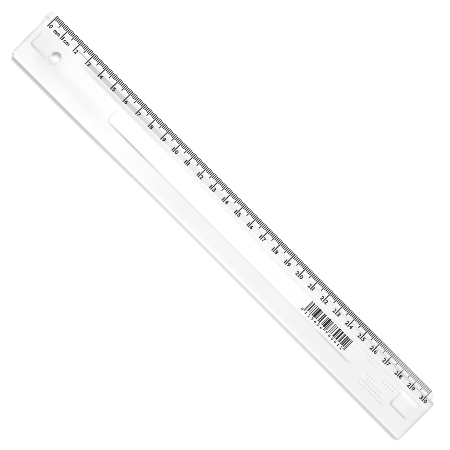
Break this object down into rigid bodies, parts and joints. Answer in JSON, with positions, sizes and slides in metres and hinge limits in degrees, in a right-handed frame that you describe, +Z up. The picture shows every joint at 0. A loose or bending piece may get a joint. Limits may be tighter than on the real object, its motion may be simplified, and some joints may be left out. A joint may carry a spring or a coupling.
{
  "type": "straight ruler",
  "caption": "Clear one-piece straight ruler with a thin bevelled scale edge, a hanging hole and a low raised grip panel.",
  "frame": {"origin": "centre of the bounding box on the plane that the ruler lies on", "axes": "+X along the scale from zero to thirty, +Y towards the scale edge, +Z up out of the printed face"},
  "size_m": [0.3112, 0.034, 0.0026],
  "materials": {
    "clear_plastic": "clear, polished, injection moulded",
    "ink": "black printed ink"
  },
  "bodies": {
    "root": {"ruler_body": "clear_plastic"}
  },
  "joints": []
}
